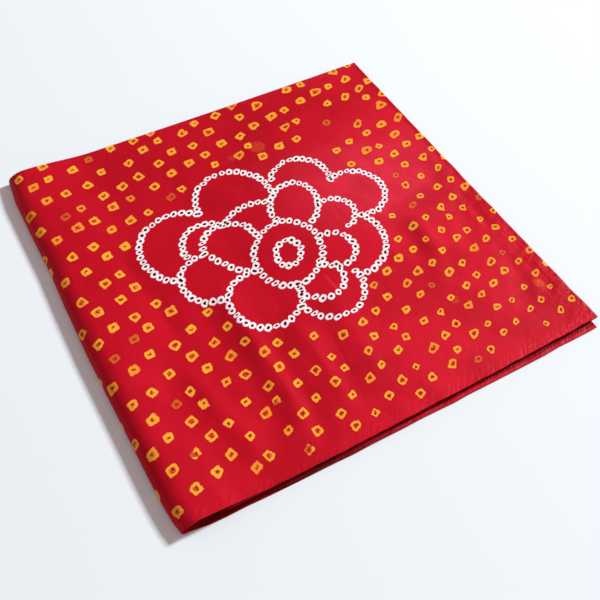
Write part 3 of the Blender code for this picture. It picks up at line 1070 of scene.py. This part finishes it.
def small_dot_colour(make, dots, in_mm, jagged, ground, settings):
    """The small dots' yellow body, orange rim and dark pinch mark, laid over the ground."""
    edge = dots.distance + jagged
    # A few ties took badly: some are faded, some are broken
    faded = make.ramp(dots.chance[3], 0.05, 0.09, 0.30, 1.0)
    patch = make.noise(in_mm, 0.16, 1.0)[0]
    whole = make.ramp(dots.chance[2], 0.975, 0.960, 0.0, 0.5)
    broken = make.ramp(patch + whole, 0.42, 0.54, 0.25, 1.0)
    mask = make.ramp(edge, 1.05, 0.91) * dots.clear * (faded * broken)
    tired = make.ramp(dots.chance[1], 0.70, 0.95, 0.0, 0.55)
    body = make.mix(tired, settings.dot_yellow, settings.dot_orange)
    body = make.mix(make.ramp(edge, 0.84, 1.0, 0.0, 0.75), body, settings.dot_orange)
    body = make.mix(make.ramp(edge, 0.72, 0.42) * (dots.chance[3] * 0.45), body, settings.dot_orange)
    blotch = make.noise(in_mm, 0.30)[0]
    body = make.mix(make.ramp(blotch, 0.50, 0.75, 0.0, 0.30), body, settings.dot_orange)
    # The pinch mark: a short dark bar, in some ties with a broken brown ring or branching lines
    wiggle = make.noise(in_mm, 0.55)[0]
    from_ring = abs(jagged * 0.6 + dots.distance - 0.36)
    ringed = make.ramp(from_ring, 0.13, 0.05) * make.ramp(dots.chance[0], 0.45, 0.50)
    ringed = ringed * make.ramp(make.noise(in_mm, 0.22, 1.0)[0], 0.40, 0.52, 0.0, 0.95)
    body = make.mix(ringed, body, settings.dot_brown)
    hatched = make.ramp(slanted_noise(make, in_mm, 50.0, 0.18, 0.55), 0.44, 0.52, 0.25, 0.9)
    hollow = hatched * make.ramp(edge, 0.62, 0.50) * make.ramp(dots.chance[3], 0.80, 0.84)
    body = make.mix(hollow, body, settings.ground_bright)
    line = make.ramp(abs(wiggle - 0.5), 0.060, 0.025)
    inside = make.ramp(dots.distance, 0.52, 0.40, 0.0, 0.85)
    body = make.mix(line * inside * make.ramp(dots.chance[1], 0.45, 0.60), body, settings.dot_brown)
    bar_edge = dots.mark + (wiggle * 2.4 - 1.2)
    body = make.mix(make.ramp(bar_edge, 1.15, 0.75, 0.0, 0.95), body, settings.dot_brown)
    body = make.mix(make.ramp(bar_edge, 0.65, 0.25, 0.0, 0.9), body, settings.dot_centre)
    halo = make.ramp(edge, 1.45, 1.05, 0.0, 0.35) * dots.clear
    return make.mix(mask, make.mix(halo, ground, settings.deep_dye_and_shade), body)


def flower_colour(make, distance, jagged, beneath, settings):
    """The flower's white rings with their dark eyes, laid over the rest of the dye."""
    edge = distance + jagged * 0.55
    ring = make.mix(make.ramp(edge, 0.76, 1.0, 0.0, 0.5), settings.dot_white, settings.dot_pink)
    inner = distance + jagged * 0.9
    hole = make.mix(make.ramp(inner, 0.46, 0.34), settings.deep_dye_and_shade, settings.dot_centre)
    ring = make.mix(make.ramp(inner, 0.47, 0.37), ring, hole)
    return make.mix(make.ramp(edge, 1.01, 0.87), beneath, ring)


def cloth_height(make, in_mm, x_mm, y_mm, from_long_edge, dots):
    """Fine relief in millimetres: threads, crumple, dimples at the ties and puckers at the hems."""
    threads = [make.maths("SINE", place * (2 * math.pi / THREAD_PITCH)) for place in (x_mm, y_mm)]
    height = threads[0] * threads[1] * 0.008 + make.noise(in_mm, 0.045, 5.0, 0.60)[0] * 0.60
    near_crease = make.ramp(x_mm, 168.0, 192.0) * make.ramp(y_mm, 60.0, -40.0)
    height = height + slanted_noise(make, in_mm, -20.0, 0.035, 0.085) * near_crease * 1.9
    bent = make.parts(make.noise(in_mm, 0.03)[1])
    bent_x = x_mm + (bent[0] * 8.0 - 4.0)
    bent_y = y_mm + (bent[1] * 8.0 - 4.0)
    group = crease_line_group()
    for line in SURFACE_LINES:
        height = height + line_height(make, group, bent_x, bent_y, line)
    height = height - make.ramp(dots.distance, 1.2, 0.1, 0.0, 0.06) * dots.clear
    gathers = slanted_noise(make, in_mm, -55.0, 0.06, 0.30)
    height = height + gathers * make.ramp(from_long_edge, 15.0, 2.0, 0.0, 0.45)
    return height - make.ramp(abs(from_long_edge - 4.3), 1.0, 0.0, 0.0, 0.12)


def new_material(name):
    """A material with its maker and its shader."""
    material = bpy.data.materials.new(name)
    material.use_nodes = True
    return material, NodeMaker(material.node_tree), material.node_tree.nodes["Principled BSDF"]


def bandhani_material(settings):
    """Satin-faced red cloth with its tied dots, dye clouds, weave and puckered hems."""
    material, make, shader = new_material("bandhani_cloth")
    flat = make.add("ShaderNodeUVMap", uv_map="flat_cloth").outputs[0]
    in_mm = make.scaled(flat, (1 / MM, 1 / MM, 0.0))
    x_mm, y_mm = make.parts(in_mm)[0:2]
    waver = make.parts(make.noise(in_mm, 0.20)[1])
    x = x_mm + (waver[0] * 2.0 - 1.0)
    y = y_mm + (waver[1] * 2.0 - 1.0)
    # The pattern runs back at each panel's end, as on cloth that is tied while folded
    along = make.maths("PINGPONG", x + PANEL_HALF, 2 * PANEL_HALF) - PANEL_HALF
    from_long_edge = CLOTH_WIDTH / 2 / MM - abs(y_mm)

    jagged = make.noise(in_mm, 0.9, 4.0, 0.7)[0] * 0.60 - 0.30
    dots = small_dots(make, along, y)
    colour = ground_colour(make, in_mm, x_mm, y_mm, from_long_edge, settings)
    colour = small_dot_colour(make, dots, in_mm, jagged, colour, settings)
    colour = flower_colour(make, flower_distance(make, along, y), jagged, colour, settings)
    make.feed(shader.inputs["Base Color"], colour)

    height = cloth_height(make, in_mm, x_mm, y_mm, from_long_edge, dots)
    bump = make.add("ShaderNodeBump", {"Height": height, "Strength": 1.0, "Distance": MM})
    make.feed(shader.inputs["Normal"], bump.outputs["Normal"])
    make.feed(shader.inputs["Roughness"], make.noise(in_mm, 0.05, 3.0)[0] * 0.10 + 0.42)
    shader.inputs["Specular IOR Level"].default_value = 0.05
    return material


def thread_material(settings):
    """Soft matt sewing thread, a little paler than the cloth."""
    material, make, shader = new_material("hem_thread")
    place = make.add("ShaderNodeTexCoord").outputs["Object"]
    patch = make.add("ShaderNodeTexNoise", {"Vector": place, "Scale": 90.0, "Detail": 2.0})
    pale = make.ramp(patch.outputs[0], 0.54, 0.60) * make.ramp(make.parts(place)[2], 0.0050, 0.0035)
    make.feed(shader.inputs["Base Color"], make.mix(pale, settings.thread, settings.thread_pale))
    twist = make.add("ShaderNodeTexWave", {"Vector": place, "Scale": 900.0, "Distortion": 1.0})
    inputs = {"Height": twist.outputs["Fac"], "Strength": 0.4, "Distance": 0.05 * MM}
    bump = make.add("ShaderNodeBump", inputs)
    make.feed(shader.inputs["Normal"], bump.outputs["Normal"])
    shader.inputs["Roughness"].default_value = 0.6
    shader.inputs["Specular IOR Level"].default_value = 0.15
    return material


def floor_material(colour):
    """Smooth pale table top with a barely uneven tone."""
    material, make, shader = new_material("pale_floor")
    place = make.add("ShaderNodeTexCoord").outputs["Object"]
    deeper = tuple(channel * 0.985 for channel in colour)
    make.feed(shader.inputs["Base Color"], make.mix(make.noise(place, 3.0)[0], colour, deeper))
    shader.inputs["Roughness"].default_value = 0.85
    shader.inputs["Specular IOR Level"].default_value = 0.2
    return material


class BANDHANI_OT_folded_cloth(bpy.types.Operator):
    """Make the folded cloth: one thin sheet on the solid's folds, dyed with its dots and flower"""

    bl_idname = "bandhani.folded_cloth"
    bl_label = "Folded Cloth"

    def execute(self, context):
        settings = context.scene.bandhani_cloth_settings
        faces, lengths, rows = folded_faces(settings)
        cloth = new_piece("folded_cloth", sheet_mesh(faces, lengths, rows))
        cloth.data.materials.append(bandhani_material(settings))
        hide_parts(CLOTH_NODE)
        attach(cloth, BODY)
        return {"FINISHED"}


class BANDHANI_OT_hem_stitches(bpy.types.Operator):
    """Sew the hems: small running stitches round all four edges, on the face and the reverse"""

    bl_idname = "bandhani.hem_stitches"
    bl_label = "Hem Stitches"

    def execute(self, context):
        settings = context.scene.bandhani_cloth_settings
        cloth = context.scene.objects.get("folded_cloth")
        if cloth is None:
            raise RuntimeError("make the folded cloth first")
        faces, lengths, rows = folded_faces(settings)
        stitches = new_piece("hem_stitches", stitch_mesh(faces, lengths, rows))
        stitches.data.materials.append(thread_material(settings))
        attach(stitches, BODY)
        lengths[-1] - lengths[0]
        return {"FINISHED"}


class BANDHANI_OT_stage(bpy.types.Operator):
    """Set the stage: a pale floor, a soft low light from the right, and the camera"""

    bl_idname = "bandhani.stage"
    bl_label = "Stage"

    def execute(self, context):
        settings = context.scene.bandhani_stage_settings
        bpy.ops.object.select_all(action="DESELECT")
        bpy.ops.mesh.primitive_plane_add(size=FLOOR_SIZE, location=(0.0, 0.0, 0.0))
        floor = context.active_object
        floor.name = "floor"
        floor.data.materials.append(floor_material(settings.floor_colour))
        place_light("key_light", KEY_LIGHT_PLACE, KEY_LIGHT_SIZE, settings.key_power)
        world = bpy.data.worlds.new("even_light")
        world.use_nodes = True
        background = world.node_tree.nodes["Background"]
        background.inputs["Color"].default_value = EVEN_LIGHT_COLOUR
        background.inputs["Strength"].default_value = settings.fill_strength
        context.scene.world = world
        place_camera(context)
        context.scene.view_settings.view_transform = "Standard"
        return {"FINISHED"}


def place_light(name, place, size, power):
    """A square area light that faces the cloth."""
    bpy.ops.object.light_add(type="AREA", location=place)
    light = bpy.context.active_object
    light.name = name
    light.data.size = size
    light.data.energy = power
    light.data.color = KEY_LIGHT_COLOUR
    light.rotation_euler = place.to_track_quat("Z", "Y").to_euler()


def place_camera(context):
    """The photograph's view, from its azimuth, elevation, roll and distance."""
    azimuth = math.radians(CAMERA_AZIMUTH)
    elevation = math.radians(CAMERA_ELEVATION)
    roll = math.radians(CAMERA_ROLL)
    back = Vector((
        math.sin(azimuth) * math.cos(elevation),
        -math.cos(azimuth) * math.cos(elevation),
        math.sin(elevation),
    ))
    side = Vector((0.0, 0.0, 1.0)).cross(back).normalized()
    up = back.cross(side)
    turned_side = side * math.cos(roll) + up * math.sin(roll)
    turned_up = up * math.cos(roll) - side * math.sin(roll)
    data = bpy.data.cameras.new("camera")
    data.lens = CAMERA_LENS
    data.sensor_width = SENSOR_WIDTH
    data.sensor_fit = "HORIZONTAL"
    camera = bpy.data.objects.new("camera", data)
    matrix = Matrix((turned_side, turned_up, back)).transposed().to_4x4()
    matrix.translation = CAMERA_TARGET + back * CAMERA_DISTANCE
    camera.matrix_world = matrix
    context.scene.collection.objects.link(camera)
    context.scene.camera = camera


class BANDHANI_PT_pieces(bpy.types.Panel):
    """Buttons and settings for the cloth and its stage"""

    bl_idname = "BANDHANI_PT_pieces"
    bl_label = "Bandhani Cloth"
    bl_space_type = "VIEW_3D"
    bl_region_type = "UI"
    bl_category = "Bandhani"

    def draw(self, context):
        layout = self.layout
        for settings in (context.scene.bandhani_cloth_settings, context.scene.bandhani_stage_settings):
            box = layout.box()
            for name in settings.__annotations__:
                box.prop(settings, name)
        for operator in OPERATORS:
            layout.operator(operator.bl_idname)


OPERATORS = (BANDHANI_OT_folded_cloth, BANDHANI_OT_hem_stitches, BANDHANI_OT_stage)
CLASSES = (BandhaniClothSettings, BandhaniStageSettings, *OPERATORS, BANDHANI_PT_pieces)


def register():
    for cls in CLASSES:
        bpy.utils.register_class(cls)
    bpy.types.Scene.bandhani_cloth_settings = bpy.props.PointerProperty(type=BandhaniClothSettings)
    bpy.types.Scene.bandhani_stage_settings = bpy.props.PointerProperty(type=BandhaniStageSettings)


def unregister():
    del bpy.types.Scene.bandhani_stage_settings
    del bpy.types.Scene.bandhani_cloth_settings
    for cls in reversed(CLASSES):
        bpy.utils.unregister_class(cls)


def main():
    register()
    bpy.ops.bandhani.folded_cloth()
    bpy.ops.bandhani.hem_stitches()
    bpy.ops.bandhani.stage()


if __name__ == "__main__":
    main()
